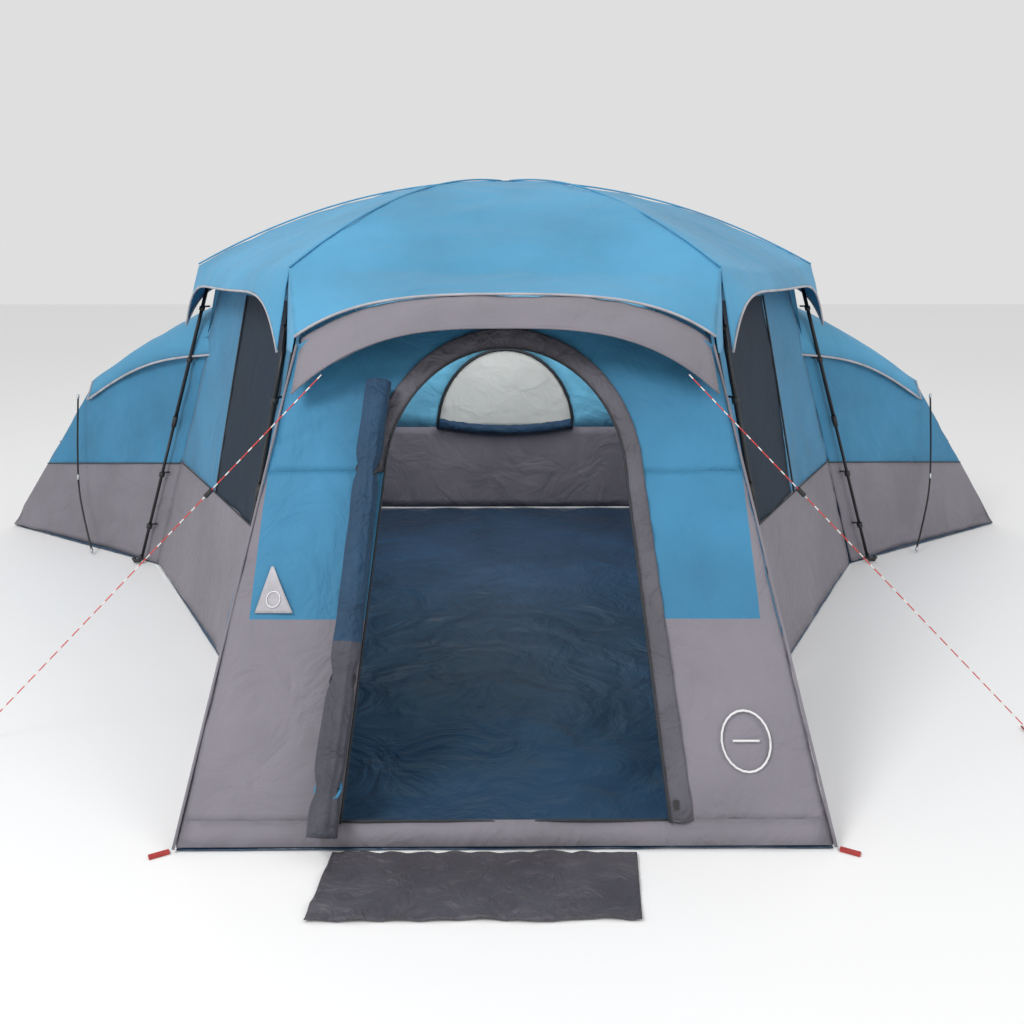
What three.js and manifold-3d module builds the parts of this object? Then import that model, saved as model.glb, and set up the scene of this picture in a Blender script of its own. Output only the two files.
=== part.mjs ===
// A large quick-pitch family tent: a six-sided dome with a folding hub frame, a front room with
// an arched door, and two side wings. Millimetres, +Z up, the door faces -Y, and the origin is
// on the ground under the hub.
import * as THREE from "three";
import { mergeVertices } from "three/addons/utils/BufferGeometryUtils.js";
import Module from "manifold-3d";

const wasm = await Module();
wasm.setup();

// Plan of the six feet, clockwise from the front left.
const FEET = {
  front_left: [-1060, -1820],
  mid_left: [-2070, 0],
  back_left: [-1200, 1300],
  back_right: [1200, 1300],
  mid_right: [2070, 0],
  front_right: [1060, -1820],
};
const CORNERS = Object.keys(FEET);
const FABRIC = 6;
const FLOOR_THICK = 6;
const SEAM_GAP = 14;

// Frame
const APEX_Z = 2170;
const SHOULDER_Z = 1660;
const SHOULDER_SHARE = 0.81;
const POLE_R = 10;
const HUB_R = 52;
const HUB_Z = 2085;
const ARM_START_R = 72;
const FOOT_H = 26;
const LEG_OFFSET = 24;

// Roof
const ROOF_SHARE = 0.84;
const ROOF_RISE = 470;
const ROOF_CURVE = 2.1;
const HEM_START = 7 / 8;
const ROOF_SAG = 22;
const SEAM_SHARE = 0.007;
const APEX_HOLE_SHARE = 0.08;
const HEM_DROP = 90;
const EAR_DROP = 250;
const PORCH_REACH = 358;
const PORCH_DROP = 122;
const PORCH_ARCH = 52;

// Walls
const WALL_SHARE = 0.95;
const WALL_TOP = 1600;
const WING_OUT = 1470;
const WING_JOIN_Z = 1300;
const WING_TOP = { out: 778, inset: 117, z: 970 };

// Front room and its door
const FRONT = { half: 970, y: -2690, topHalf: 752, topY: -1852, topZ: 1560 };
const DOOR = { sillZ: 72, half: 488, shoulderZ: 1000, shoulderHalf: 418, topZ: 1412 };

const GREY = 0x7d7882;
const BLUE = 0x3c87af;
const ROOF_BLUE = 0x50a0c8;
const NAVY = 0x28415a;
const BLACK = 0x16181a;
const RED = 0xb5362e;
const MESH_WHITE = 0xd8dad6;
const ROLL_NAVY = 0x14415f;
const DOOR_NAVY = 0x2a3c4e;
const MAT_GREY = 0x4c4a54;
const FLAP_GREY = 0x9b97a0;
const CORD_PALE = 0xc9b4a8;

const tent = new THREE.Group();

function add(name, geometry, color, roughness = 0.8, metalness = 0) {
  const material = new THREE.MeshStandardMaterial({ color, roughness, metalness });
  const mesh = new THREE.Mesh(geometry, material);
  mesh.name = name;
  tent.add(mesh);
  return mesh;
}

const vec = (x, y, z) => new THREE.Vector3(x, y, z);
const mix = (a, b, t) => a.clone().lerp(b, t);

// A closed sheet of cloth: a thin box whose length and width follow point(u, v), u and v from 0 to 1.
function sheet(point, nu, nv, thick = FABRIC) {
  const g = new THREE.BoxGeometry(1, 1, 1, nu, nv, 1);
  const p = g.getAttribute("position");
  const step = 1e-3;
  for (let i = 0; i < p.count; i++) {
    const u = p.getX(i) + 0.5;
    const v = p.getY(i) + 0.5;
    const along = point(Math.min(u + step, 1), v).sub(point(Math.max(u - step, 0), v));
    const up = point(u, Math.min(v + step, 1)).sub(point(u, Math.max(v - step, 0)));
    const normal = along.cross(up).normalize();
    const at = point(u, v).addScaledVector(normal, p.getZ(i) * thick);
    p.setXYZ(i, at.x, at.y, at.z);
  }
  return g;
}

// A four-sided panel between a bottom edge a-b and a top edge c-d, kept clear of its neighbours
// by the seam gap and bellied by a little slack.
function panel(a, b, c, d, nu = 6, nv = 6, belly = 0) {
  const along = b.clone().sub(a);
  const out = along.clone().cross(c.clone().sub(a)).normalize();
  const inset = SEAM_GAP / along.length();
  return sheet((u, v) => {
    const t = inset + u * (1 - 2 * inset);
    const slack = belly * Math.sin(Math.PI * t) * Math.sin(Math.PI * v);
    return mix(mix(a, b, t), mix(c, d, t), v).addScaledVector(out, slack);
  }, nu, nv);
}

function solid(geometry) {
  const bare = geometry.clone();
  bare.deleteAttribute("normal");
  bare.deleteAttribute("uv");
  const merged = mergeVertices(bare, 1e-3);
  const vertProperties = merged.getAttribute("position").array;
  const triVerts = new Uint32Array(merged.index.array);
  return new wasm.Manifold(new wasm.Mesh({ numProp: 3, vertProperties, triVerts }));
}

function cut(from, tool) {
  const made = solid(from).subtract(solid(tool)).getMesh();
  const g = new THREE.BufferGeometry();
  g.setAttribute("position", new THREE.BufferAttribute(made.vertProperties, 3));
  g.setIndex(new THREE.BufferAttribute(made.triVerts, 1));
  return g;
}

// A round tube along a curve, closed at both ends.
function tube(curve, radius, sides, steps) {
  const ring = new THREE.Shape();
  for (let i = 0; i < sides; i++) {
    const a = (2 * Math.PI * i) / sides;
    ring[i ? "lineTo" : "moveTo"](radius * Math.cos(a), radius * Math.sin(a));
  }
  ring.closePath();
  return new THREE.ExtrudeGeometry(ring, { steps, extrudePath: curve, bevelEnabled: false });
}

const straight = (a, b) => new THREE.LineCurve3(a, b);

// A point of the wall line at a corner of the plan, leaning in with the legs.
function wallAt(corner, z) {
  const share = WALL_SHARE * (1 - ((1 - SHOULDER_SHARE) * z) / SHOULDER_Z);
  return vec(FEET[corner][0] * share, FEET[corner][1] * share, z);
}

// A corner of a wing, out from the wall line, with its distance in from the wing's side.
function wingCorner(side, far, out, inset, z) {
  const name = side < 0 ? "left" : "right";
  const near = wallAt(`mid_${name}`, 0);
  const back = wallAt(`back_${name}`, 0);
  const along = back.clone().sub(near).normalize();
  const outward = vec(side * along.y, -side * along.x, 0);
  const from = far ? back : near;
  return from.addScaledVector(outward, out).addScaledVector(along, far ? -inset : inset).setZ(z);
}

// Groundsheet: the six-sided room, the front room and the two wings in one cut.
function groundsheet() {
  const edge = [
    vec(-FRONT.half, FRONT.y, 0),
    wallAt("front_left", 0),
    wallAt("mid_left", 0),
    wingCorner(-1, false, WING_OUT, 0, 0),
    wingCorner(-1, true, WING_OUT, 0, 0),
    wallAt("back_left", 0),
    wallAt("back_right", 0),
    wingCorner(1, true, WING_OUT, 0, 0),
    wingCorner(1, false, WING_OUT, 0, 0),
    wallAt("mid_right", 0),
    wallAt("front_right", 0),
    vec(FRONT.half, FRONT.y, 0),
  ];
  const outline = new THREE.Shape(edge.map((p) => new THREE.Vector2(p.x, p.y)));
  return new THREE.ExtrudeGeometry(outline, { depth: FLOOR_THICK, bevelEnabled: false });
}

add("groundsheet", groundsheet(), NAVY);

const BASE_Z = FLOOR_THICK + 6;

// Six roof gores: domed from the apex to the shoulders, then a short hem that drops at each leg.
// The front gore's hem runs forward instead, as the roof of the front room.
function gore(a, b, forward) {
  return sheet((u, v) => {
    const t = SEAM_SHARE + u * (1 - 2 * SEAM_SHARE);
    const x = THREE.MathUtils.lerp(FEET[a][0], FEET[b][0], t) * ROOF_SHARE;
    const y = THREE.MathUtils.lerp(FEET[a][1], FEET[b][1], t) * ROOF_SHARE;
    if (v <= HEM_START + 1e-9) {
      const r = APEX_HOLE_SHARE + (1 - APEX_HOLE_SHARE) * (v / HEM_START);
      const sag = ROOF_SAG * Math.sin(Math.PI * t) * r;
      return vec(x * r, y * r, APEX_Z - ROOF_RISE * r ** ROOF_CURVE - sag);
    }
    const h = (v - HEM_START) / (1 - HEM_START);
    const arch = Math.sin(Math.PI * t);
    if (forward) {
      const z = APEX_Z - ROOF_RISE - ROOF_SAG * arch + h * (PORCH_ARCH * arch - PORCH_DROP);
      return vec(x * (1 - 0.11 * h), y - PORCH_REACH * h, z);
    }
    const drop = HEM_DROP + EAR_DROP * Math.abs(2 * t - 1) ** 6;
    const sag = ROOF_SAG * arch;
    return vec(x * (1 + 0.04 * h), y * (1 + 0.04 * h), APEX_Z - ROOF_RISE - sag - drop * h);
  }, 8, 8);
}

CORNERS.forEach((corner, i) => {
  const next = CORNERS[(i + 1) % CORNERS.length];
  const name = `roof_gore_${i + 1}`;
  add(name, gore(next, corner, corner === "front_right"), ROOF_BLUE);
});

// Apex patch over the hub.
const patch = new THREE.CylinderGeometry(120, 165, 6, 24);
patch.rotateX(Math.PI / 2);
patch.translate(0, 0, APEX_Z + 10);
add("apex_patch", patch, ROOF_BLUE);

// Side walls with the tall windows, and the back wall.
for (const side of ["left", "right"]) {
  const a = side === "left" ? `mid_${side}` : `front_${side}`;
  const b = side === "left" ? `front_${side}` : `mid_${side}`;
  const wall = panel(wallAt(a, BASE_Z), wallAt(b, BASE_Z), wallAt(a, WALL_TOP), wallAt(b, WALL_TOP));
  add(`window_wall_${side}`, wall, BLUE);
}

function archTool(half, straightH, rise, depth) {
  const shape = new THREE.Shape();
  shape.moveTo(-half, 0);
  shape.lineTo(half, 0);
  shape.lineTo(half, straightH);
  shape.absellipse(0, straightH, half, rise, 0, Math.PI, false, 0);
  const g = new THREE.ExtrudeGeometry(shape, { depth, bevelEnabled: false, curveSegments: 10 });
  g.rotateX(Math.PI / 2);
  return g;
}

const WINDOW = { half: 460, z: 580, rise: 540 };
const backWall = panel(
  wallAt("back_right", BASE_Z),
  wallAt("back_left", BASE_Z),
  wallAt("back_right", WALL_TOP),
  wallAt("back_left", WALL_TOP),
);
const windowTool = archTool(WINDOW.half, 20, WINDOW.rise - 20, 600);
windowTool.translate(0, 1500, WINDOW.z);
add("back_wall", cut(backWall, windowTool), BLUE);

// The mesh of the back window hangs just inside the wall, and its cover is rolled below it.
function backWallY(z) {
  return wallAt("back_left", z).y;
}
const meshShape = new THREE.Shape();
meshShape.moveTo(-WINDOW.half - 15, 0);
meshShape.lineTo(WINDOW.half + 15, 0);
meshShape.absellipse(0, 0, WINDOW.half + 15, WINDOW.rise + 15, 0, Math.PI, false, 0);
const meshPanel = new THREE.ExtrudeGeometry(meshShape, { depth: 2, bevelEnabled: false, curveSegments: 8 });
const lean = Math.atan2(backWallY(0) - backWallY(1000), 1000);
meshPanel.rotateX(Math.PI / 2 + lean);
meshPanel.translate(0, backWallY(WINDOW.z) - 5, WINDOW.z - 6);
add("back_window_mesh", meshPanel, MESH_WHITE);
const rollY = backWallY(WINDOW.z) - 42;
const rollCurve = new THREE.QuadraticBezierCurve3(
  vec(-WINDOW.half, rollY, WINDOW.z + 20),
  vec(0, rollY - 6, WINDOW.z - 40),
  vec(WINDOW.half, rollY, WINDOW.z + 20),
);
add("back_window_roll", tube(rollCurve, 30, 10, 10), ROLL_NAVY);

// Wings: two side walls, a sloping end wall and a vaulted roof each.
for (const [side, s] of [["left", -1], ["right", 1]]) {
  const mid = `mid_${side}`;
  const back = `back_${side}`;
  const near = wingCorner(s, false, WING_OUT, 0, BASE_Z);
  const far = wingCorner(s, true, WING_OUT, 0, BASE_Z);
  const nearTop = wingCorner(s, false, WING_TOP.out, WING_TOP.inset, WING_TOP.z);
  const farTop = wingCorner(s, true, WING_TOP.out, WING_TOP.inset, WING_TOP.z);
  const order = (a, b, c, d) => (s < 0 ? panel(a, b, c, d) : panel(b, a, d, c));
  const nearJoin = wallAt(mid, WING_JOIN_Z);
  const farJoin = wallAt(back, WING_JOIN_Z);
  add(`wing_near_wall_${side}`, order(near, wallAt(mid, BASE_Z), nearTop, nearJoin), BLUE);
  add(`wing_far_wall_${side}`, order(wallAt(back, BASE_Z), far, farJoin, farTop), BLUE);
  add(`wing_end_wall_${side}`, order(far, near, farTop, nearTop), BLUE);
  const vault = sheet((u, v) => {
    const t = s < 0 ? u : 1 - u;
    const at = mix(mix(farJoin, nearJoin, t), mix(farTop, nearTop, t), 0.02 + 1.0 * v);
    const arch = Math.sin(Math.PI * t) ** 0.7;
    const dome = 70 * Math.sin(Math.PI * v);
    at.z += 26 + THREE.MathUtils.lerp(270, 50, v) * arch + dome;
    return at;
  }, 10, 6);
  add(`wing_roof_${side}`, vault, ROOF_BLUE);
}

// Front room: two side walls and a sloping front wall with the arched door.
for (const [side, s] of [["left", -1], ["right", 1]]) {
  const foot = vec(s * FRONT.half, FRONT.y, BASE_Z);
  const top = vec(s * FRONT.topHalf, FRONT.topY, FRONT.topZ);
  const legFoot = wallAt(`front_${side}`, BASE_Z);
  const legTop = wallAt(`front_${side}`, FRONT.topZ);
  const wall = s < 0 ? panel(legFoot, foot, legTop, top) : panel(foot, legFoot, top, legTop);
  add(`front_side_wall_${side}`, wall, BLUE);
}

const slope = (FRONT.topY - FRONT.y) / FRONT.topZ;
const frontY = (z) => FRONT.y + slope * z;

const frontWall = panel(
  vec(-FRONT.half, FRONT.y, BASE_Z),
  vec(FRONT.half, FRONT.y, BASE_Z),
  vec(-FRONT.topHalf, FRONT.topY, FRONT.topZ),
  vec(FRONT.topHalf, FRONT.topY, FRONT.topZ),
);
function doorTool() {
  const shape = new THREE.Shape();
  const rise = DOOR.topZ - DOOR.shoulderZ;
  shape.moveTo(-DOOR.half, DOOR.sillZ);
  shape.lineTo(DOOR.half, DOOR.sillZ);
  shape.lineTo(DOOR.shoulderHalf, DOOR.shoulderZ);
  shape.absellipse(0, DOOR.shoulderZ, DOOR.shoulderHalf, rise, 0, Math.PI, false, 0);
  const g = new THREE.ExtrudeGeometry(shape, { depth: 1600, bevelEnabled: false, curveSegments: 12 });
  g.rotateX(Math.PI / 2);
  g.translate(0, -1400, 0);
  return g;
}
add("front_wall", cut(frontWall, doorTool()), BLUE);

// The visor hangs out over the door, with its two tips pulled down.
const visor = sheet((u, v) => {
  const w = 1 - 2 * u;
  const tip = Math.abs(w) ** 3;
  const inner = vec(-w * 765, -1903, 1598 - 34 * w * w);
  const outer = vec(-w * 758, -2130 + 30 * tip, 1500 - 235 * tip);
  return mix(inner, outer, v);
}, 14, 3);
add("door_visor", visor, GREY);

// The rolled door hangs in front of the left edge of the doorway.
const ROLL_R = 46;
const rollAt = (x, z) => vec(x, frontY(z) - 66, z);
const doorRoll = new THREE.CatmullRomCurve3([
  rollAt(-452, 1300),
  rollAt(-474, 1000),
  rollAt(-496, 560),
  rollAt(-520, 250),
  rollAt(-532, 62),
]);
add("rolled_door", tube(doorRoll, ROLL_R, 10, 14), DOOR_NAVY);

// Entrance mat, sewn to the sill and lying on the ground.
const MAT = { left: -505, right: 385, y: -2706, length: 290 };
const mat = sheet((u, v) => {
  const x = THREE.MathUtils.lerp(MAT.left, MAT.right, u) - 25 * (1 - v);
  return vec(x, MAT.y - MAT.length * (1 - v), 5 + 1.2 * Math.sin(9 * u));
}, 8, 3, 4);
add("entrance_mat", mat, MAT_GREY);

// Cover of the cable port, a triangle on the left of the front wall.
const PORT = { apexZ: 722, apexX: -772, baseZ: 592, halfBase: 62, baseX: -752 };
const portFlap = sheet((u, v) => {
  const z = THREE.MathUtils.lerp(PORT.baseZ, PORT.apexZ, v);
  const half = THREE.MathUtils.lerp(PORT.halfBase, 6, v);
  const x = THREE.MathUtils.lerp(PORT.baseX, PORT.apexX, v) + (2 * u - 1) * half;
  return vec(x, frontY(z) - 12, z);
}, 2, 3, 4);
add("cable_port_flap", portFlap, FLAP_GREY);

// Zip slider at the foot of the door's right edge.
const sliderZ = DOOR.sillZ + 40;
const slider = new THREE.BoxGeometry(14, 6, 26);
slider.rotateX(-Math.atan(slope));
slider.translate(DOOR.half + 22, frontY(sliderZ) - 19, sliderZ);
add("door_zip_slider", slider, BLACK, 0.4, 0.6);

// Guylines: taut cords from the visor's guy points to pegs, each with a tensioner.
for (const [side, s] of [["left", -1], ["right", 1]]) {
  const top = vec(s * 640, -2160, 1338);
  const end = vec(s * 1905, -2020, 22);
  const dir = end.clone().sub(top).normalize();
  add(`guyline_${side}`, tube(straight(top, end), 1.9, 8, 12), CORD_PALE);
  const ring = [[3.2, -16], [9, -16], [9, 16], [3.2, 16], [3.2, -16]];
  const runner = new THREE.LatheGeometry(ring.map(([r, y]) => new THREE.Vector2(r, y)), 10);
  const turn = new THREE.Quaternion().setFromUnitVectors(vec(0, 1, 0), dir);
  runner.applyQuaternion(turn);
  const at = top.clone().addScaledVector(dir, 0.32 * end.distanceTo(top));
  runner.translate(at.x, at.y, at.z);
  add(`guy_runner_${side}`, runner, BLACK, 0.5);
  const peg = new THREE.CylinderGeometry(4, 4, 180, 8);
  peg.translate(s * 1914, -2020, 6);
  add(`guy_peg_${side}`, peg, RED, 0.4, 0.6);
}

// Webbing loops at the front corners.
for (const [side, s] of [["left", -1], ["right", 1]]) {
  const loop = new THREE.BoxGeometry(58, 20, 5);
  loop.rotateZ(s * -0.5);
  loop.translate(s * (FRONT.half + 42), FRONT.y - 12, 3.5);
  add(`corner_loop_${side}`, loop, RED);
}

// Thin bowed poles that stand the wings' near edges up, each turning about its foot.
for (const [side, s] of [["left", -1], ["right", 1]]) {
  const bow = new THREE.CatmullRomCurve3([
    vec(s * 2420, 190, 12),
    vec(s * 2560, 350, 300),
    vec(s * 2608, 425, 560),
    vec(s * 2628, 478, 900),
  ]);
  add(`wing_pole_${side}`, tube(bow, 5, 8, 10), BLACK, 0.4);
}

// Folding frame: a hub, six bowed arms, six legs and their feet.
const hubProfile = [[0, -38], [30, -38], [HUB_R, -18], [HUB_R, 18], [34, 34], [0, 34]];
const hub = new THREE.LatheGeometry(hubProfile.map(([r, z]) => new THREE.Vector2(r, z)), 24);
hub.rotateX(Math.PI / 2);
hub.translate(0, 0, HUB_Z);
add("hub", hub, BLACK, 0.5);

for (const corner of CORNERS) {
  const [x, y] = FEET[corner];
  const reach = Math.hypot(x, y);
  const ground = (r, z) => vec((x / reach) * r, (y / reach) * r, z);
  const shoulder = SHOULDER_SHARE * reach;
  const bow = new THREE.QuadraticBezierCurve3(
    ground(ARM_START_R, HUB_Z),
    ground(shoulder / 2, HUB_Z - 8),
    ground(shoulder - 26, SHOULDER_Z + 8),
  );
  add(`arm_${corner}`, tube(bow, POLE_R, 8, 8), BLACK, 0.45);
  // The leg pivots beside its arm, so the two can fold flat against each other.
  const beside = vec(-y / reach, x / reach, 0).multiplyScalar(Math.sign(x) * LEG_OFFSET);
  const legTop = ground(shoulder, SHOULDER_Z).add(beside);
  const legFoot = ground(reach, FOOT_H + 4).add(beside);
  add(`leg_${corner}`, tube(straight(legTop, legFoot), POLE_R, 8, 3), BLACK, 0.45);
  const foot = new THREE.CylinderGeometry(12, 16, FOOT_H - 8, 12);
  foot.rotateX(Math.PI / 2);
  const at = ground(reach + 3, FOOT_H / 2 - 2).add(beside);
  foot.translate(at.x, at.y, at.z);
  add(`foot_${corner}`, foot, BLACK, 0.6);
}

export default tent;
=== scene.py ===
"""A large quick-pitch family tent: cloth, poles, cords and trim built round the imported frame, in metres."""

import math

import bmesh
import bpy
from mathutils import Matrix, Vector, noise


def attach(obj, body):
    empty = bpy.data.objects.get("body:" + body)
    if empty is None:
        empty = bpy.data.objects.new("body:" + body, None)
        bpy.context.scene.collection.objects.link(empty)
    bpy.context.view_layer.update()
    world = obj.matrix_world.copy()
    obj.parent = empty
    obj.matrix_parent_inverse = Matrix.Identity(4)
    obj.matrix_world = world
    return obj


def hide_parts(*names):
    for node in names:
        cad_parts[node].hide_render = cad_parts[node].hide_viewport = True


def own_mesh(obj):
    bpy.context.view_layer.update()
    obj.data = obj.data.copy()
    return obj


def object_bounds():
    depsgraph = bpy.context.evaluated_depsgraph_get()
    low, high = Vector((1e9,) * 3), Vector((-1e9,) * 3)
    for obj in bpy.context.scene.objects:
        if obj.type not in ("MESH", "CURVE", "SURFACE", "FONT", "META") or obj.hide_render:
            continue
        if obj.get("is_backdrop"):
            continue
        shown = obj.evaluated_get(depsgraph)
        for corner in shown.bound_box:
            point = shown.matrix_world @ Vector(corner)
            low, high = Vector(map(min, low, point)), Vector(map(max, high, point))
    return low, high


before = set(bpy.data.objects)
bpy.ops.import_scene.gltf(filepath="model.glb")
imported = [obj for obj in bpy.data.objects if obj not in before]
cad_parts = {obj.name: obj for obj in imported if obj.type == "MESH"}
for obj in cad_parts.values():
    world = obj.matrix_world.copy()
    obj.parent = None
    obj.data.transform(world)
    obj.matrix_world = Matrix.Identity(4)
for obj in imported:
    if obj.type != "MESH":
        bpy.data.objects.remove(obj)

CAD_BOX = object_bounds()

# Driving sizes, the same as the CAD model's.
FEET = {
    "front_left": (-1.06, -1.82),
    "mid_left": (-2.07, 0.0),
    "back_left": (-1.2, 1.3),
    "back_right": (1.2, 1.3),
    "mid_right": (2.07, 0.0),
    "front_right": (1.06, -1.82),
}
CORNERS = list(FEET)
APEX_Z, SHOULDER_Z, SHOULDER_SHARE = 2.17, 1.66, 0.81
ROOF_SHARE, ROOF_RISE, ROOF_CURVE = 0.84, 0.47, 2.1
WALL_SHARE, WALL_TOP, BASE_Z = 0.95, 1.6, 0.012
WING_OUT, WING_JOIN_Z = 1.47, 1.3
WING_TOP_OUT, WING_TOP_INSET, WING_TOP_Z = 0.778, 0.117, 0.97
FRONT_HALF, FRONT_Y, FRONT_TOP_HALF, FRONT_TOP_Y, FRONT_TOP_Z = 0.97, -2.69, 0.752, -1.852, 1.56
SILL_Z, DOOR_HALF, DOOR_SHOULDER_Z, DOOR_SHOULDER_HALF, DOOR_TOP_Z = 0.072, 0.488, 1.0, 0.418, 1.412
SKIRT_Z = 0.57
LEG_OFFSET = 0.024
TIP_DROP = 0.13  # how far the front roof's hem and the visor drop at their two ends
FLOOR_INSET = 0.998  # share of the wall line that the floor reaches
UP = Vector((0, 0, 1))


# ---------------------------------------------------------------- camera, light and floor
def make_camera():
    data = bpy.data.cameras.new("camera")
    data.sensor_width = 36.0
    data.lens = 34.5
    data.shift_y = -0.25
    camera = bpy.data.objects.new("camera", data)
    camera.location = (0, -5.575, 1.751)
    camera.rotation_euler = (math.radians(90), 0, -0.0067)
    bpy.context.scene.collection.objects.link(camera)
    bpy.context.scene.camera = camera


def area_light(name, place, target, size, power):
    data = bpy.data.lights.new(name, "AREA")
    data.size = size
    data.energy = power
    lamp = bpy.data.objects.new(name, data)
    lamp.location = place
    lamp.rotation_euler = (Vector(target) - Vector(place)).to_track_quat("-Z", "Y").to_euler()
    bpy.context.scene.collection.objects.link(lamp)


def make_light():
    world = bpy.data.worlds.new("studio")
    bpy.context.scene.world = world
    world.use_nodes = True
    background = world.node_tree.nodes["Background"]
    background.inputs["Color"].default_value = (1, 1, 1, 1)
    background.inputs["Strength"].default_value = 0.74
    bpy.context.scene.view_settings.view_transform = "Standard"
    area_light("key", (-4.5, -7, 7), (0, 0, 0.8), 3, 400)
    area_light("fill", (5.5, -6, 5), (0, 0, 0.8), 4, 110)
    area_light("inside", (0, -0.1, 1.72), (0, 0.9, 0.6), 1.4, 30)


# ---------------------------------------------------------------- materials
def cloth(name, color, rough=0.7, sheen=0.08, crease=0.5, scale=5.0, vary=0.16):
    """Coated tent cloth: a fine plain weave, soft creases, and slight colour variation."""
    m = bpy.data.materials.new(name)
    m.use_nodes = True
    t = m.node_tree
    shader = t.nodes["Principled BSDF"]
    shader.inputs["Roughness"].default_value = rough
    shader.inputs["Sheen Weight"].default_value = sheen
    where = t.nodes.new("ShaderNodeTexCoord")
    patchy = t.nodes.new("ShaderNodeTexNoise")
    patchy.inputs["Scale"].default_value = scale * 0.5
    patchy.inputs["Detail"].default_value = 8
    ramp = t.nodes.new("ShaderNodeValToRGB")
    dark = [c * (1 - vary) for c in color]
    light = [min(1, c * (1 + vary)) for c in color]
    ramp.color_ramp.elements[0].position = 0.3
    ramp.color_ramp.elements[0].color = (*dark, 1)
    ramp.color_ramp.elements[1].position = 0.7
    ramp.color_ramp.elements[1].color = (*light, 1)
    creases = t.nodes.new("ShaderNodeTexNoise")
    creases.inputs["Scale"].default_value = scale
    creases.inputs["Detail"].default_value = 6
    creases.inputs["Distortion"].default_value = 1.1
    weave = t.nodes.new("ShaderNodeTexVoronoi")
    weave.inputs["Scale"].default_value = 420
    broad = t.nodes.new("ShaderNodeBump")
    broad.inputs["Strength"].default_value = crease
    broad.inputs["Distance"].default_value = 0.05
    fine = t.nodes.new("ShaderNodeBump")
    fine.inputs["Strength"].default_value = 0.08
    fine.inputs["Distance"].default_value = 0.001
    link = t.links.new
    for n in (patchy, creases, weave):
        link(where.outputs["Object"], n.inputs["Vector"])
    link(patchy.outputs["Fac"], ramp.inputs["Fac"])
    link(ramp.outputs["Color"], shader.inputs["Base Color"])
    link(creases.outputs["Fac"], broad.inputs["Height"])
    link(weave.outputs["Distance"], fine.inputs["Height"])
    link(broad.outputs["Normal"], fine.inputs["Normal"])
    link(fine.outputs["Normal"], shader.inputs["Normal"])
    return m


def hard(name, color, rough=0.4, metal=0.0, grain=60.0):
    """Moulded plastic or coated metal, with a fine grain and worn patches."""
    m = bpy.data.materials.new(name)
    m.use_nodes = True
    t = m.node_tree
    shader = t.nodes["Principled BSDF"]
    shader.inputs["Metallic"].default_value = metal
    where = t.nodes.new("ShaderNodeTexCoord")
    wear = t.nodes.new("ShaderNodeTexNoise")
    wear.inputs["Scale"].default_value = grain
    wear.inputs["Detail"].default_value = 5
    span = t.nodes.new("ShaderNodeMapRange")
    span.inputs["To Min"].default_value = rough * 0.8
    span.inputs["To Max"].default_value = min(1, rough * 1.3)
    ramp = t.nodes.new("ShaderNodeValToRGB")
    ramp.color_ramp.elements[0].color = (*[c * 0.8 for c in color], 1)
    ramp.color_ramp.elements[1].color = (*[min(1, c * 1.25) for c in color], 1)
    bump = t.nodes.new("ShaderNodeBump")
    bump.inputs["Strength"].default_value = 0.1
    bump.inputs["Distance"].default_value = 0.0005
    link = t.links.new
    link(where.outputs["Object"], wear.inputs["Vector"])
    link(wear.outputs["Fac"], span.inputs["Value"])
    link(span.outputs["Result"], shader.inputs["Roughness"])
    link(wear.outputs["Fac"], ramp.inputs["Fac"])
    link(ramp.outputs["Color"], shader.inputs["Base Color"])
    link(wear.outputs["Fac"], bump.inputs["Height"])
    link(bump.outputs["Normal"], shader.inputs["Normal"])
    return m


ROOF = cloth("roof_cloth", (0.07, 0.3, 0.5), scale=3.0)
WALL = cloth("wall_cloth", (0.035, 0.2, 0.36), scale=4.0)
# Painted light: the back wall is the same blue fabric as the other walls, painted much lighter to stand in
# for daylight glowing through it.
BACK_WALL_PAINTED_GLOW = cloth("back_wall_painted_glow", (0.16, 0.5, 0.72), scale=4.0)
SKIRT = cloth("skirt_cloth", (0.2, 0.185, 0.215), scale=4.5, vary=0.12)
BAND = cloth("band_cloth", (0.1, 0.095, 0.115), scale=9.0, crease=0.7)
WINDOW = cloth("window_cloth", (0.0, 0.012, 0.03), rough=0.75, sheen=0.0, crease=0.15)
FLOOR = cloth("floor_cloth", (0.02, 0.055, 0.11), rough=0.42, crease=0.8, scale=3.5, vary=0.35)
MAT = cloth("mat_cloth", (0.065, 0.06, 0.075), rough=0.5, crease=0.9, scale=9.0, vary=0.25)
ROLL_BLUE = cloth("roll_cloth", (0.008, 0.045, 0.1), crease=0.8, scale=9.0)
ROLL_DARK = cloth("roll_skirt_cloth", (0.06, 0.06, 0.08), crease=0.8, scale=9.0)
NET = cloth("net_cloth", (0.62, 0.63, 0.6), rough=0.8, crease=0.3, scale=6.0, vary=0.08)
PIPING = cloth("piping_tape", (0.42, 0.41, 0.44), crease=0.1, scale=30.0)
DARK_PIPING = cloth("dark_piping_tape", (0.02, 0.024, 0.03), crease=0.1, scale=30.0)
WEB = cloth("red_webbing", (0.42, 0.03, 0.025), crease=0.3, scale=60.0)
CORD_RED = cloth("cord_red", (0.6, 0.05, 0.04), crease=0.1, scale=200.0)
CORD_WHITE = cloth("cord_white", (0.8, 0.78, 0.75), crease=0.1, scale=200.0)
PRINT = cloth("pale_print", (0.75, 0.75, 0.76), crease=0.1, scale=20.0, vary=0.04)
POLE = hard("pole_coating", (0.014, 0.015, 0.017), rough=0.35, metal=0.3)
PLASTIC = hard("black_plastic", (0.02, 0.02, 0.022), rough=0.5)
STEEL = hard("ferrule_steel", (0.55, 0.56, 0.58), rough=0.3, metal=1.0)
PEG = hard("red_peg", (0.5, 0.06, 0.03), rough=0.35, metal=0.4)


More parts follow.
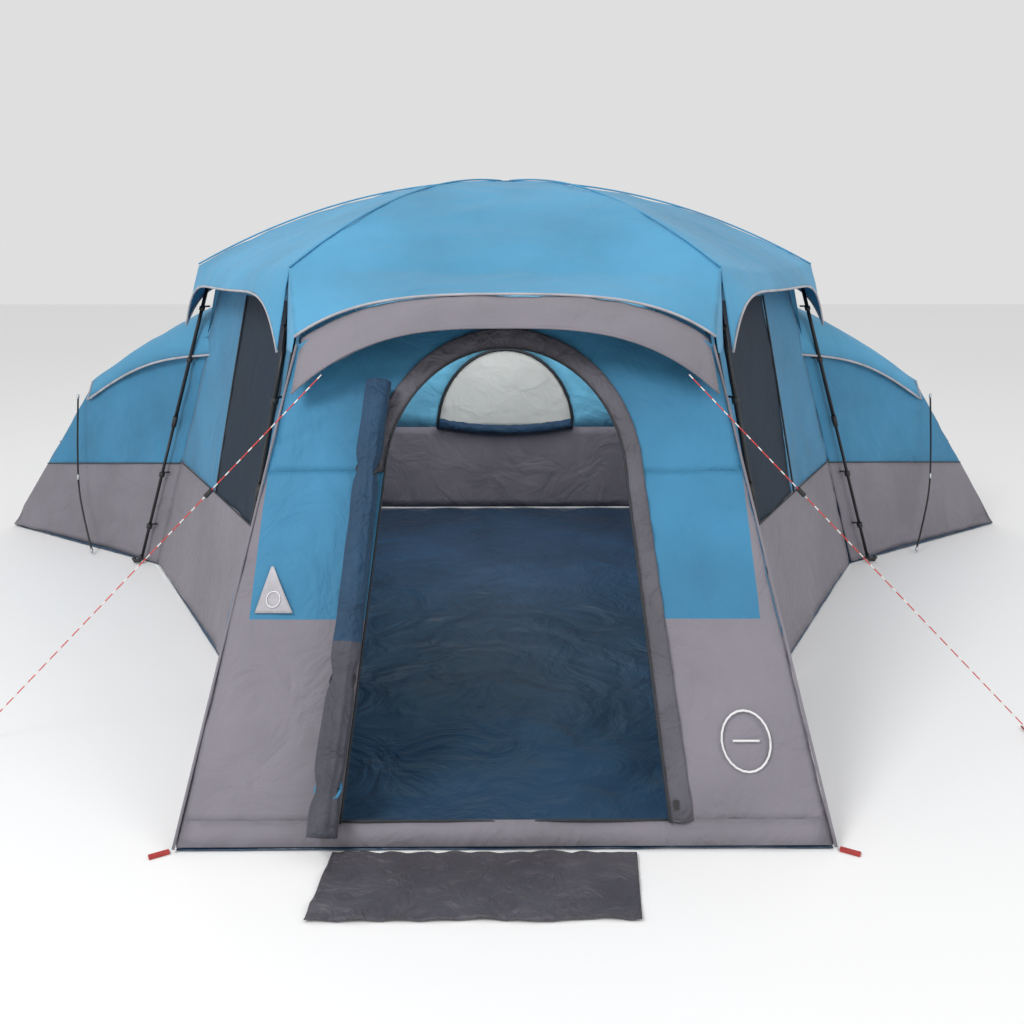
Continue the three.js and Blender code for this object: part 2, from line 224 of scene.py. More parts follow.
# ---------------------------------------------------------------- mesh helpers
def new_object(name, verts, faces, materials, face_slots=None):
    mesh = bpy.data.meshes.new(name)
    mesh.from_pydata([tuple(v) for v in verts], [], faces)
    for m in materials:
        mesh.materials.append(m)
    if face_slots:
        mesh.polygons.foreach_set("material_index", face_slots)
    mesh.polygons.foreach_set("use_smooth", [True] * len(mesh.polygons))
    obj = bpy.data.objects.new(name, mesh)
    bpy.context.scene.collection.objects.link(obj)
    bm = bmesh.new()
    bm.from_mesh(mesh)
    bmesh.ops.remove_doubles(bm, verts=bm.verts, dist=0.0004)
    bmesh.ops.recalc_face_normals(bm, faces=bm.faces)
    bm.to_mesh(mesh)
    bm.free()
    return obj


def spread(breaks, counts):
    """Values that run through each break with a number of even steps between two of them."""
    out = []
    for (a, b), n in zip(zip(breaks, breaks[1:]), counts):
        out += [a + (b - a) * i / n for i in range(n)]
    return out + [breaks[-1]]


def patch(point, us, vs, slot=lambda i, j: 0):
    """A grid of points point(u, v), its faces, and each face's material slot."""
    verts = [point(u, v) for v in vs for u in us]
    wide = len(us)
    faces, slots = [], []
    for j in range(len(vs) - 1):
        for i in range(wide - 1):
            a = j * wide + i
            faces.append((a, a + 1, a + 1 + wide, a + wide))
            slots.append(slot(i, j))
    return verts, faces, slots


def merged(patches):
    verts, faces, slots = [], [], []
    for v, f, s in patches:
        base = len(verts)
        verts += v
        faces += [tuple(i + base for i in q) for q in f]
        slots += s
    return verts, faces, slots


def rumple(verts, amount, normal_at, size=1.0):
    """Moves each point along its normal by soft slack, long pulled folds, and small puckers."""
    out = []
    for p in verts:
        n = normal_at(p)
        low = noise.noise(p * 1.7 * size)
        pulled = Vector((p.x * 5 + p.z * 3, p.y * 5 - p.z * 2, p.z * 1.6)) * size + Vector((7, 3, 1))
        fold = 1 - 2 * abs(noise.noise(pulled))
        across = 1 - 2 * abs(noise.noise(Vector((p.x * 2.5 - p.z * 6, p.y * 2.5, p.z * 7)) * size))
        small = noise.noise(p * 14 * size)
        out.append(p + n * amount * (low + 0.45 * (fold - 0.6) + 0.3 * (across - 0.6) + 0.16 * small))
    return out


def soft(obj, node_names, body="shelter", thick=0.0016, fold=True):
    """Gives a sheet a thin solidify skin, parents it to its body, hides the imported parts it stands for, and
    gives it its own mesh when fold is set.
    """
    size = [max(c) - min(c) for c in zip(*[v.co for v in obj.data.vertices])]
    skin = obj.modifiers.new("cloth_thickness", "SOLIDIFY")
    skin.thickness = thick
    skin.offset = 0
    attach(obj, body)
    if node_names:
        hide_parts(*node_names)
    if fold:
        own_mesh(obj)
    return obj


def ring_tube(points, radius, sides=10, radii=None):
    """Verts and faces of a tube round the points, its ends closed; radii gives one radius for each point."""
    verts, faces = [], []
    count = len(points)
    for i, p in enumerate(points):
        ahead = points[min(i + 1, count - 1)] - points[max(i - 1, 0)]
        ahead.normalize()
        side = ahead.cross(UP if abs(ahead.z) < 0.95 else Vector((0, 1, 0))).normalized()
        over = side.cross(ahead)
        r = radii[i] if radii else radius
        for k in range(sides):
            a = 2 * math.pi * k / sides
            verts.append(p + (side * math.cos(a) + over * math.sin(a)) * r)
    for i in range(count - 1):
        for k in range(sides):
            a, b = i * sides + k, i * sides + (k + 1) % sides
            faces.append((a, b, b + sides, a + sides))
    faces.append(tuple(reversed(range(sides))))
    faces.append(tuple(range((count - 1) * sides, count * sides)))
    return verts, faces


def tube(
    name, points, radius, material, body="shelter", sides=10, radii=None, nodes=(), fold=True
):
    """A round strip, seam or rolled piece along the points."""
    verts, faces = ring_tube([Vector(p) for p in points], radius, sides, radii)
    obj = new_object(name, verts, faces, [material])
    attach(obj, body)
    if nodes:
        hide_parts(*nodes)
    if fold:
        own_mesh(obj)
    return obj


def rod(name, parts, materials, body, nodes=()):
    """One rigid piece made of several tubes, each (points, radius, material number)."""
    verts, faces, slots = [], [], []
    for points, radius, m in parts:
        v, f = ring_tube([Vector(p) for p in points], radius, 14)
        base = len(verts)
        verts += v
        faces += [tuple(i + base for i in q) for q in f]
        slots += [m] * len(f)
    obj = new_object(name, verts, faces, materials, slots)
    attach(obj, body)
    if nodes:
        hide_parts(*nodes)
    return obj


def lerp(a, b, t):
    return a + (b - a) * t


def wall_at(corner, z):
    share = WALL_SHARE * (1 - (1 - SHOULDER_SHARE) * z / SHOULDER_Z)
    return Vector((FEET[corner][0] * share, FEET[corner][1] * share, z))


def wing_corner(side, far, out, inset, z):
    name = "left" if side < 0 else "right"
    near, back = wall_at(f"mid_{name}", 0), wall_at(f"back_{name}", 0)
    along = (back - near).normalized()
    outward = Vector((side * along.y, -side * along.x, 0))
    start = back if far else near
    at = start + outward * out + along * (-inset if far else inset)
    return Vector((at.x, at.y, z))


def front_y(z):
    return FRONT_Y + (FRONT_TOP_Y - FRONT_Y) / FRONT_TOP_Z * z


# ---------------------------------------------------------------- roof
def gore_point(a, b, forward):
    def at(t, v):
        x = lerp(FEET[a][0], FEET[b][0], t) * ROOF_SHARE
        y = lerp(FEET[a][1], FEET[b][1], t) * ROOF_SHARE
        arch = math.sin(math.pi * t)
        sag = 0.022 * arch
        if v <= 1:
            return Vector((x * v, y * v, APEX_Z - ROOF_RISE * v**ROOF_CURVE - sag * v))
        h = v - 1
        if forward:
            z = APEX_Z - ROOF_RISE - sag + h * (0.052 * arch - 0.122 - TIP_DROP * abs(2 * t - 1) ** 4)
            return Vector((x * (1 - 0.11 * h), y - 0.358 * h, z))
        drop = 0.09 + 0.25 * abs(2 * t - 1) ** 6
        return Vector((x * (1 + 0.04 * h), y * (1 + 0.04 * h), APEX_Z - ROOF_RISE - sag - drop * h))

    return at


def front_flap(at, t):
    """The side of the front room's roof, which hangs down over the top of the side wall."""

    def flap(h, k):
        edge = at(t, 1 + h)
        drop = lerp(0.34, 0.06, h)
        return Vector((edge.x * (1 + 0.012 * k), edge.y, edge.z - drop * k))

    return patch(flap, [i / 10 for i in range(11)], [i / 8 for i in range(9)])


def make_roof():
    patches, hems, ribs = [], [], []
    for i, corner in enumerate(CORNERS):
        nxt = CORNERS[(i + 1) % len(CORNERS)]
        forward = corner == "front_right"
        at = gore_point(nxt, corner, forward)
        us = spread([0.0, 0.15, 0.85, 1.0], [12, 34, 12])
        vs = spread([0.0, 1.0, 2.0], [48, 12])
        patches.append(patch(at, us, vs))
        hems.append([at(k / 60, 2.0) for k in range(61)])
        if forward:
            patches += [front_flap(at, t) for t in (0.0, 1.0)]
        ribs.append([at(0.0, 0.02 + k / 30 * 0.98) for k in range(31)])
    verts, faces, slots = merged(patches)

    def out(p):
        return Vector((p.x * 0.3, p.y * 0.3, 1)).normalized()

    roof = new_object("roof_canopy", rumple(verts, 0.012, out), faces, [ROOF], slots)
    soft(roof, [f"roof_gore_{i + 1}" for i in range(6)] + ["apex_patch"])
    for i, line in enumerate(hems):
        tube(f"roof_hem_piping_{i + 1}", line, 0.006, PIPING, sides=6)
    for i, line in enumerate(ribs):
        lifted = [p + UP * 0.006 for p in line]
        tube(f"roof_seam_{i + 1}", lifted, 0.005, ROOF, sides=6)
    cap = [Vector((0, 0, APEX_Z + 0.004)), Vector((0, 0, APEX_Z + 0.012))]
    tube("apex_cap", cap, 0.05, PRINT, sides=24)


# ---------------------------------------------------------------- side walls
def flat_normal(a, b, c):
    n = (b - a).cross(c - a).normalized()
    return lambda p: n


def make_window_wall(side):
    s = -1 if side == "left" else 1
    mid, front = f"mid_{side}", f"front_{side}"
    vs = spread([0.0, SKIRT_Z / WALL_TOP, 0.95, 1.0], [14, 22, 2])
    columns = 30

    def column_line(i, v):
        k = i / columns
        left = lerp(0.47, 0.38, max(0, v - 0.35) / 0.65)
        right = lerp(0.83, 0.9, max(0, v - 0.35) / 0.65)
        if k < 1 / 3:
            return k * 3 * left
        if k < 2 / 3:
            return lerp(left, right, (k - 1 / 3) * 3)
        return lerp(right, 1.0, (k - 2 / 3) * 3)

    def at(i, v):
        z = lerp(BASE_Z, WALL_TOP + 0.03, v)
        t = column_line(i, v)
        p = wall_at(mid, z).lerp(wall_at(front, z), t)
        inward = Vector((-p.x, -p.y, 0)).normalized()
        return p + inward * 0.006 * math.sin(math.pi * t) * (1 - v) ** 2

    def slot(i, j):
        if j < 14:
            return 1
        return 2 if 10 <= i < 20 and j < 36 else 0

    verts, faces, slots = patch(at, list(range(columns + 1)), vs, slot)
    normal = flat_normal(at(0, 0), at(columns, 0), at(0, 1))
    wall = new_object(f"side_wall_{side}", rumple(verts, 0.012, normal), faces, [WALL, SKIRT, WINDOW], slots)
    soft(wall, [f"window_wall_{side}"])
    n = normal(None) * (1 if normal(None).x * s > 0 else -1)
    for k, i in enumerate((10, 20)):
        line = [at(i, v) + n * 0.008 for v in vs if SKIRT_Z / WALL_TOP <= v <= 0.95]
        tube(f"window_piping_{side}_{k + 1}", line, 0.005, DARK_PIPING, sides=6)
    seam = [at(i, SKIRT_Z / WALL_TOP) + n * 0.008 for i in range(columns + 1)]
    tube(f"skirt_seam_{side}", seam, 0.004, DARK_PIPING, sides=6)


def quad_wall(name, node, a, b, c, d, skirt, belly=0.02, wall=WALL):
    """A panel between the bottom edge a-b and the top edge c-d, grey below the skirt line."""
    share = skirt / max(c.z, d.z)
    rows = 20
    vs = spread([0.0, share, 1.0], [rows, 32])
    us = [k / 50 for k in range(51)]
    n = (b - a).cross(c - a).normalized()
    centre = (a + b + c + d) / 4
    if n.dot(Vector((centre.x, centre.y + 0.3, 0))) < 0:
        n = -n

    def at(u, v):
        p = a.lerp(b, u).lerp(c.lerp(d, u), v)
        return p - n * belly * math.sin(math.pi * u) * (1 - v) ** 0.8

    verts, faces, slots = patch(at, us, vs, lambda i, j: 1 if j < rows else 0)
    obj = new_object(name, rumple(verts, 0.014, lambda p: n), faces, [wall, SKIRT], slots)
    soft(obj, [node])
    tube(f"{name}_seam", [at(u, share) + n * 0.006 for u in us], 0.0035, DARK_PIPING, sides=6)
    return at


def make_wing(side):
    s = -1 if side == "left" else 1
    mid, back = f"mid_{side}", f"back_{side}"
    near, far = (wing_corner(s, f, WING_OUT, 0, BASE_Z) for f in (False, True))
    near_top, far_top = (wing_corner(s, f, WING_TOP_OUT, WING_TOP_INSET, WING_TOP_Z) for f in (False, True))
    near_join, far_join = wall_at(mid, WING_JOIN_Z), wall_at(back, WING_JOIN_Z)
    near_foot, far_foot = wall_at(mid, BASE_Z), wall_at(back, BASE_Z)
    quad_wall(f"wing_near_{side}", f"wing_near_wall_{side}", near, near_foot, near_top, near_join, SKIRT_Z)
    quad_wall(f"wing_far_{side}", f"wing_far_wall_{side}", far_foot, far, far_join, far_top, SKIRT_Z)
    quad_wall(f"wing_end_{side}", f"wing_end_wall_{side}", far, near, far_top, near_top, SKIRT_Z)

    def at(t, v):
        hang = -1 if t < 0 else (1 if t > 1 else 0)
        t = min(1, max(0, t))
        p = far_join.lerp(near_join, t).lerp(far_top.lerp(near_top, t), 0.02 + v)
        arch = math.sin(math.pi * t) ** lerp(0.42, 0.7, max(0, v)) if 0 < t < 1 else 0
        p.z += lerp(0.27, 0.05, v) * arch + 0.07 * math.sin(math.pi * v) + 0.006
        if hang:
            p += (near_join - far_join).normalized() * 0.035 * (1 if hang > 0 else -1)
            p.z -= 0.11
        return p

    us = [-1 / 36] + [k / 36 for k in range(37)] + [37 / 36]
    vs = [k / 24 for k in range(-2, 25)]

    def gable(t, k):
        join = wall_at(back, WALL_TOP).lerp(wall_at(mid, WALL_TOP), t)
        return at(t, 0.0).lerp(Vector((join.x * 1.015, join.y * 1.015, WALL_TOP + 0.04)), k)

    above = patch(gable, [k / 24 for k in range(25)], [k / 8 for k in range(9)])
    verts, faces, slots = merged([patch(at, us, vs), above])
    roof = new_object(f"wing_canopy_{side}", rumple(verts, 0.012, lambda p: UP), faces, [ROOF], slots)
    soft(roof, [f"wing_roof_{side}"])
    edge = [at(2, v) for v in vs] + [at(1 - k / 24, 1) for k in range(25)] + [at(-1, 1 - v) for v in vs]
    tube(f"wing_hem_{side}", edge, 0.007, PIPING, sides=6)


# ---------------------------------------------------------------- back wall
def make_back_wall():
    half, base, rise = 0.46, 0.58, 0.54
    n = 24

    def plane(x, z):
        return Vector((x, wall_at("back_left", z).y, z))

    def edge_x(z):
        return abs(wall_at("back_left", z).x)

    def inner(k):
        a = math.pi * (1 - k / n)
        return plane(half * math.cos(a), base + rise * math.sin(a))

    def outer(k):
        a = math.pi * (1 - k / n)
        x, z = math.cos(a), math.sin(a)
        side = min(1.0, 1.6 * abs(x)) * (1 if x > 0 else -1)
        top = lerp(base, WALL_TOP, min(1.0, 1.35 * z))
        return plane(edge_x(top) * side, top)

    ring = patch(lambda k, v: inner(k).lerp(outer(k), v), list(range(n + 1)), [k / 10 for k in range(11)])
    low = patch(
        lambda u, v: plane((2 * u - 1) * edge_x(lerp(BASE_Z, base, v)), lerp(BASE_Z, base, v)),
        [k / 30 for k in range(31)],
        [k / 10 for k in range(11)],
        lambda i, j: 1,
    )
    verts, faces, slots = merged([ring, low])
    verts = rumple(verts, 0.006, lambda p: Vector((0, 1, 0)))
    # The window ring above the skirt carries the painted backlit glow; the grey skirt cloth is below it.
    back = new_object("back_wall_cloth", verts, faces, [BACK_WALL_PAINTED_GLOW, SKIRT], slots)
    soft(back, ["back_wall"])
    inside = Vector((0, -0.012, 0))
    arch = [inner(k) + inside for k in range(n + 1)]
    tube("back_window_piping", arch + [arch[0]], 0.011, DARK_PIPING, sides=8)

    def net_at(u, v):
        across = (2 * u - 1) * half * math.sqrt(max(0, 1 - v * v))
        return plane(across, base + rise * v) + Vector((0, -0.004, 0))

    net = patch(
        net_at,
        [k / 16 for k in range(17)],
        [min(0.999, k / 16) for k in range(17)],
    )
    net_obj = new_object("back_window_net", net[0], net[1], [NET])
    soft(net_obj, ["back_window_mesh"], thick=0.001)
    y = wall_at("back_left", base).y - 0.045
    line, radii = [], []
    for k in range(41):
        u = 2 * k / 40 - 1
        line.append(Vector((u * (half - 0.01), y, base + 0.045 * u * u - 0.01)))
        radii.append(0.03 + 0.006 * noise.noise(Vector((k * 0.5, 0, 0))))
    roll = tube("back_window_cover", line, 0.03, ROLL_BLUE, sides=14, radii=radii, nodes=["back_window_roll"])


# ---------------------------------------------------------------- front room
def door_outline(k):
    """A point of the doorway, k from 0 at the right sill up and over to 4 at the left sill."""
    rise = DOOR_TOP_Z - DOOR_SHOULDER_Z
    if k < 1:
        z = lerp(SILL_Z, DOOR_SHOULDER_Z, k)
        return lerp(DOOR_HALF, DOOR_SHOULDER_HALF, k), z
    if k > 3:
        z = lerp(DOOR_SHOULDER_Z, SILL_Z, k - 3)
        return -lerp(DOOR_SHOULDER_HALF, DOOR_HALF, k - 3), z
    a = math.pi * (k - 1) / 2
    return DOOR_SHOULDER_HALF * math.cos(a), DOOR_SHOULDER_Z + rise * math.sin(a)


def front_half(z):
    return lerp(FRONT_HALF, FRONT_TOP_HALF, z / FRONT_TOP_Z)


def on_front(x, z, lift=0.0):
    return Vector((x, front_y(z) - lift, z))


def make_front_wall():
    patches = []
    margin = 0.86
    for s in (-1, 1):

        def at(u, v, s=s):
            z = lerp(SILL_Z, DOOR_SHOULDER_Z, v)
            inner = lerp(DOOR_HALF, DOOR_SHOULDER_HALF, v)
            edge = front_half(z)
            t = u / 0.7
            seam = edge * lerp(margin, 0.995, v)
            x = lerp(inner, seam, t) if u <= 0.7 else lerp(seam, edge, (u - 0.7) / 0.3)
            return on_front(s * x, z)

        split = (SKIRT_Z - SILL_Z) / (DOOR_SHOULDER_Z - SILL_Z)
        us = spread([0.0, 0.7, 1.0], [24, 6])
        vs = spread([0.0, split, 1.0], [28, 24])
        patches.append(patch(at, us, vs, lambda i, j: 0 if j >= 28 and i < 24 else 1))

        def sill(u, v, s=s):
            z = lerp(BASE_Z, SILL_Z, v)
            return on_front(s * lerp(0, front_half(z), u), z)

        patches.append(patch(sill, [k / 16 for k in range(17)], [0.0, 0.5, 1.0], lambda i, j: 1))

    def header(k, v):
        x, z = door_outline(1 + 2 * k)
        a = math.pi * k
        cx, cz = math.cos(a), math.sin(a)
        top = FRONT_TOP_Z - (TIP_DROP + 0.01) * min(1.0, 1.45 * abs(cx)) ** 4
        oz = lerp(DOOR_SHOULDER_Z, top, min(1.0, 1.5 * cz))
        ox = front_half(oz) * min(1.0, 1.45 * abs(cx)) * (1 if cx > 0 else -1)
        return on_front(lerp(x, ox, v), lerp(z, oz, v))

    patches.append(patch(header, [k / 72 for k in range(73)], [k / 16 for k in range(17)]))
    verts, faces, slots = merged(patches)
    normal = Vector((0, -1, 0.54)).normalized()
    wall = new_object("front_wall_cloth", rumple(verts, 0.01, lambda p: normal), faces, [WALL, SKIRT], slots)
    soft(wall, ["front_wall"])

    def band(k, v):
        x, z = door_outline(k)
        grow = 1 + 0.15 * v
        zz = z if k < 1 else DOOR_SHOULDER_Z + (z - DOOR_SHOULDER_Z) * (1 + 0.17 * v)
        lift = 0.01 + 0.006 * math.sin(math.pi * v) + 0.004 * math.sin(k * 60 + 4 * v)
        return on_front(x * grow, zz, lift)

    ks = [k / 60 * 3.0 for k in range(61)]
    verts, faces, slots = patch(band, ks, [k / 8 for k in range(9)])
    trim = new_object("door_arch_band", rumple(verts, 0.004, lambda p: normal, 2.5), faces, [BAND], slots)
    soft(trim, [])
    zip_line = [on_front(*door_outline(k / 80 * 4), 0.02) for k in range(81)]
    tube("door_zip", zip_line, 0.004, DARK_PIPING, sides=6)
    sill_line = [on_front(lerp(-0.49, 0.49, k / 10), SILL_Z, 0.006) for k in range(11)]
    tube("sill_piping", sill_line, 0.004, DARK_PIPING, sides=6)
    for side, s in (("left", -1), ("right", 1)):
        foot = Vector((s * FRONT_HALF, FRONT_Y, BASE_Z))
        top_z = FRONT_TOP_Z - TIP_DROP - 0.01
        top = Vector((s * front_half(top_z), front_y(top_z), top_z))
        leg_foot, leg_top = wall_at(f"front_{side}", BASE_Z), wall_at(f"front_{side}", FRONT_TOP_Z)
        quad_wall(f"front_side_{side}", f"front_side_wall_{side}", leg_foot, foot, leg_top, top, SKIRT_Z)
        edge = [foot.lerp(top, k / 20) + Vector((s * 0.004, -0.004, 0)) for k in range(21)]
        tube(f"front_edge_piping_{side}", edge, 0.005, SKIRT, sides=6)


def make_visor():
    def at(u, v):
        w = 2 * u - 1
        tip = abs(w) ** 3
        inner = Vector((w * 0.765, -1.88, 1.6 - 0.03 * w * w - TIP_DROP * w**4))
        outer = Vector((w * 0.758, -2.13 + 0.03 * tip, 1.5 - 0.235 * tip))
        p = inner.lerp(outer, v)
        p.z += 0.012 * math.sin(math.pi * v)
        return p

    us, vs = [k / 60 for k in range(61)], [k / 14 for k in range(15)]
    verts, faces, slots = patch(at, us, vs)
    normal = Vector((0, -0.5, 1)).normalized()
    visor = new_object("visor", rumple(verts, 0.009, lambda p: normal, 1.6), faces, [SKIRT], slots)
    soft(visor, ["door_visor"])
    tube("visor_hem", [at(u, 1) for u in us], 0.005, SKIRT, sides=6)


def make_rolled_door():
    places = [(-0.452, 1.3), (-0.474, 1.0), (-0.496, 0.56), (-0.52, 0.25), (-0.532, 0.062)]
    steps, line, radii = 90, [], []
    ties = (1.02, 0.44, 0.17)
    for k in range(steps + 1):
        z = lerp(1.3, 0.062, k / steps)
        for (x0, z0), (x1, z1) in zip(places, places[1:]):
            if z1 <= z <= z0 + 1e-9:
                x = lerp(x0, x1, (z0 - z) / (z0 - z1))
        line.append(Vector((x, front_y(z) - 0.066, z)))
        pinch = sum(math.exp(-(((z - t) / 0.03) ** 2)) for t in ties)
        radii.append(0.043 + 0.005 * noise.noise(Vector((0, 0, z * 9))) - 0.012 * min(1, pinch))
    sides = 36
    verts, faces = ring_tube(line, 0.045, sides, radii)
    verts = [
        v + (v - line[i // sides]) * (0.16 * noise.noise(Vector((i % sides * 0.55, v.z * 3.2, 2.0))))
        + (v - line[i // sides]) * (0.1 if i % sides in (3, 4) else 0)
        for i, v in enumerate(verts)
    ]
    dark_below = SKIRT_Z - 0.04
    slots = [0 if i < len(faces) - 2 and line[i // sides].z > dark_below else 1 for i in range(len(faces))]
    roll = new_object("door_roll", verts, faces, [ROLL_BLUE, ROLL_DARK], slots)
    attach(roll, "shelter")
    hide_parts("rolled_door")
    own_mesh(roll)
    for i, z in enumerate(ties):
        k = min(range(steps + 1), key=lambda q: abs(line[q].z - z))
        ring = []
        for a in range(25):
            t = 2 * math.pi * a / 24
            ring.append(line[k] + Vector((math.cos(t), math.sin(t), 0.5 * math.sin(t))) * 0.036)
        tube(f"door_tie_{i + 1}", ring, 0.006, DARK_PIPING if i < 2 else WALL, sides=6)


def make_mat():
    def at(u, v):
        x = lerp(-0.505, 0.385, u) - 0.025 * (1 - v)
        y = -2.706 - 0.29 * (1 - v)
        coarse = abs(noise.noise(Vector((x * 9, y * 12, 0))))
        crinkle = coarse + 0.4 * abs(noise.noise(Vector((x * 25, y * 25, 3))))
        edge = 0.008 * noise.noise(Vector((x * 6, v * 4, 9)))
        return Vector((x, y + edge * (1 - v), 0.004 + 0.016 * crinkle))

    verts, faces, slots = patch(at, [k / 70 for k in range(71)], [k / 26 for k in range(27)])
    mat = new_object("ground_flap", verts, faces, [MAT], slots)
    soft(mat, ["entrance_mat"], body="mat", fold=False)


def make_floor_cloth():
    ml, fl = wall_at("mid_left", 0), wall_at("front_left", 0)
    mr, fr = wall_at("mid_right", 0), wall_at("front_right", 0)
    bl, br = wall_at("back_left", 0), wall_at("back_right", 0)
    f0, f1 = Vector((-FRONT_HALF, FRONT_Y, 0)), Vector((FRONT_HALF, FRONT_Y, 0))
    wings = [[wing_corner(s, f, WING_OUT, 0, 0) for f in (False, True)] for s in (-1, 1)]
    quads = [
        (f0, f1, fr, fl),
        (fl, fr, mr, ml),
        (ml, mr, br, bl),
        (wings[0][0], ml, bl, wings[0][1]),
        (mr, wings[1][0], wings[1][1], br),
    ]
    patches = []
    for a, b, c, d in quads:

        def at(u, v, a=a, b=b, c=c, d=d):
            p = a.lerp(b, u).lerp(d.lerp(c, u), v)
            crinkle = abs(noise.noise(p * 4.0)) + 0.35 * abs(noise.noise(p * 13.0))
            return Vector((p.x * FLOOR_INSET, p.y * FLOOR_INSET, 0.003 + 0.011 * crinkle))

        patches.append(patch(at, [k / 40 for k in range(41)], [k / 40 for k in range(41)]))
    verts, faces, slots = merged(patches)
    floor = new_object("floor_cloth", verts, faces, [FLOOR], slots)
    soft(floor, ["groundsheet"], fold=False)


# ---------------------------------------------------------------- frame, cords and trim
def make_legs():
    for corner, (x, y) in FEET.items():
        reach = math.hypot(x, y)
        way = Vector((x / reach, y / reach, 0))
        side = Vector((-way.y, way.x, 0)) * math.copysign(1, x)
        top = way * (SHOULDER_SHARE * reach) + UP * SHOULDER_Z + side * LEG_OFFSET
        foot = way * reach + UP * 0.03 + side * LEG_OFFSET
        parts = [
            ([top, top.lerp(foot, 0.52)], 0.0105, 0),
            ([top.lerp(foot, 0.5), foot], 0.0085, 0),
            ([top.lerp(foot, 0.505), top.lerp(foot, 0.54)], 0.0145, 1),
        ]
        for share in (0.12, 0.3, 0.7, 0.88):
            at = top.lerp(foot, share)
            parts.append(([at, top.lerp(foot, share + 0.014)], 0.016, 1))
            parts.append(([at, at - way * 0.04 + side * 0.004], 0.005, 1))
        parts.append(([top + side * 0.012, top - side * 0.011], 0.017, 1))
        rod(f"leg_pole_{corner}", parts, [POLE, PLASTIC], f"leg_{corner}", [f"leg_{corner}"])
        hook = [foot + UP * 0.02, foot, foot + way * 0.012 - UP * 0.012, foot + way * 0.036 - UP * 0.014]
        hook.append(foot + way * 0.048 + UP * 0.006)
        hook_parts = [(hook, 0.012, 0)]
        rod(f"foot_hook_{corner}", hook_parts, [PLASTIC], f"leg_{corner}", [f"foot_{corner}"])
    for side, s in (("left", -1), ("right", 1)):
        x, y = FEET[f"front_{side}"]
        base = Vector((x, y, 0)) + Vector((s * -0.012, -0.055, 0))
        top = Vector((x, y, 0)) * SHOULDER_SHARE + Vector((s * -0.006, -0.05, 1.5))
        strap = [top.lerp(base + UP * 0.02, k / 10) for k in range(11)]
        tube(f"front_strap_{side}", strap, 0.006, DARK_PIPING, sides=6)


def make_guylines():
    for side, s in (("left", -1), ("right", 1)):
        top, end = Vector((s * 0.64, -2.16, 1.338)), Vector((s * 1.905, -2.02, 0.022))
        count = 92
        line = [top.lerp(end, k / count) for k in range(count + 1)]
        verts, faces = ring_tube(line, 0.0021, 8)
        slots = [1 if (i // 8) % 3 == 0 else 0 for i in range(len(faces))]
        cord = new_object(f"guy_cord_{side}", verts, faces, [CORD_RED, CORD_WHITE], slots)
        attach(cord, "shelter")
        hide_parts(f"guyline_{side}")
        peg = Vector((s * 1.914, -2.02, 0.006))
        bar = [peg + Vector((0, 0.072, 0)), peg + Vector((0, -0.05, 0)), peg + Vector((0, -0.062, 0.006))]
        bar += [peg + Vector((s * -0.008, -0.064, 0.018)), peg + Vector((s * -0.02, -0.058, 0.02))]
        hook = rod(f"peg_{side}", [(bar, 0.0035, 0)], [PEG], "shelter", [f"guy_peg_{side}"])
        tuple(top)
        [tuple(p) for p in line]


def front_ring(x, z, r, steps, lift):
    """A closed ring of points on the front wall, round (x, z)."""
    turns = [k / steps * math.tau for k in range(steps + 1)]
    return [on_front(x + r * math.cos(a), z + r * math.sin(a), lift) for a in turns]


def make_marks():
    """A plain round patch and ring in place of printed marks."""
    tube("round_patch", front_ring(0.74, 0.26, 0.075, 24, 0.012), 0.0035, PRINT, sides=6)
    bar = [on_front(0.74 + 0.075 * 0.55 * (k / 8 - 0.5) * 2, 0.26, 0.012) for k in range(9)]
    tube("round_patch_bar", bar, 0.0035, PRINT, sides=6)
    apex, base = on_front(-0.772, 0.722, 0.014), (-0.752, 0.592)

    def at(u, v):
        half = lerp(0.062, 0.004, v)
        x = lerp(base[0], apex.x, v) + (2 * u - 1) * half
        return on_front(x, lerp(base[1], apex.z, v), 0.014 + 0.004 * math.sin(math.pi * v))

    verts, faces, slots = patch(at, [k / 10 for k in range(11)], [k / 12 for k in range(13)])
    cover = new_object("port_cover_cloth", verts, faces, [PIPING], slots)
    soft(cover, ["cable_port_flap"], body="port_cover", fold=False)
    icon = front_ring(-0.757, 0.632, 0.022, 16, 0.021)
    tube("port_ring", icon, 0.002, PRINT, body="port_cover", sides=6, fold=False)


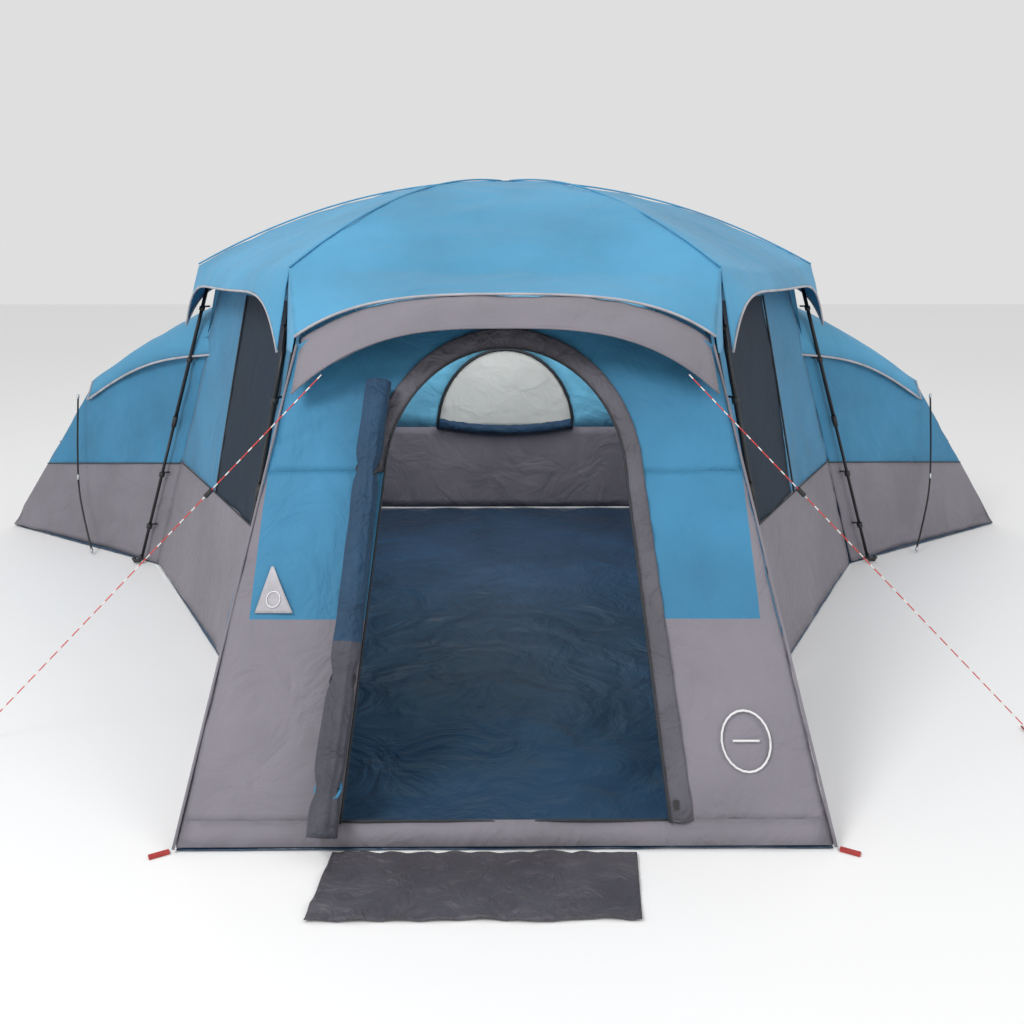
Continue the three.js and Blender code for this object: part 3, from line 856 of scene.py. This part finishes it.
def finish_cad_nodes():
    for name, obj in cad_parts.items():
        if obj.hide_render:
            continue
        material = PLASTIC
        if name.startswith("arm_"):
            material = POLE
        if name.startswith("corner_loop"):
            material = WEB
        obj.data.materials.clear()
        obj.data.materials.append(material)


def make_wing_poles():
    for side, s in (("left", -1), ("right", 1)):
        stops = [Vector((s * 2.42, 0.19, 0.012)), Vector((s * 2.56, 0.35, 0.3))]
        stops += [Vector((s * 2.608, 0.425, 0.56)), Vector((s * 2.628, 0.478, 0.9))]
        line = []
        for k in range(25):
            t = k / 24 * 3
            i = min(2, int(t))
            f = t - i
            p0, p1 = stops[max(0, i - 1)], stops[i]
            p2, p3 = stops[i + 1], stops[min(3, i + 2)]
            square = (2 * p0 - 5 * p1 + 4 * p2 - p3) * f * f
            cube = (3 * p1 - p0 - 3 * p2 + p3) * f**3
            line.append(0.5 * (2 * p1 + (p2 - p0) * f + square + cube))
        parts = [(line, 0.0052, 0), (line[:2], 0.0075, 1), (line[11:13], 0.0072, 1), (line[-2:], 0.0075, 1)]
        rod(f"wing_hoop_{side}", parts, [POLE, STEEL], f"wing_pole_{side}", [f"wing_pole_{side}"])


make_camera()
make_light()
make_guylines()
make_floor_cloth()
make_roof()
for flank in ("left", "right"):
    make_window_wall(flank)
    make_wing(flank)
make_back_wall()
make_front_wall()
make_visor()
make_rolled_door()
make_mat()
make_legs()
make_wing_poles()
make_marks()
finish_cad_nodes()

bpy.ops.mesh.primitive_plane_add(size=60, location=(0, 0, -0.001))
ground = bpy.context.object
ground.name = "studio_floor"
ground_material = bpy.data.materials.new("studio_floor")
ground_material.use_nodes = True
ground_shader = ground_material.node_tree.nodes["Principled BSDF"]
ground_shader.inputs["Base Color"].default_value = (0.9, 0.9, 0.9, 1)
ground_shader.inputs["Roughness"].default_value = 0.9
ground.data.materials.append(ground_material)
ground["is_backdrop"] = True

VISUAL_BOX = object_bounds()
boxes = {"cad": CAD_BOX, "visual": VISUAL_BOX}
{name: [list(corner) for corner in box] for name, box in boxes.items()}
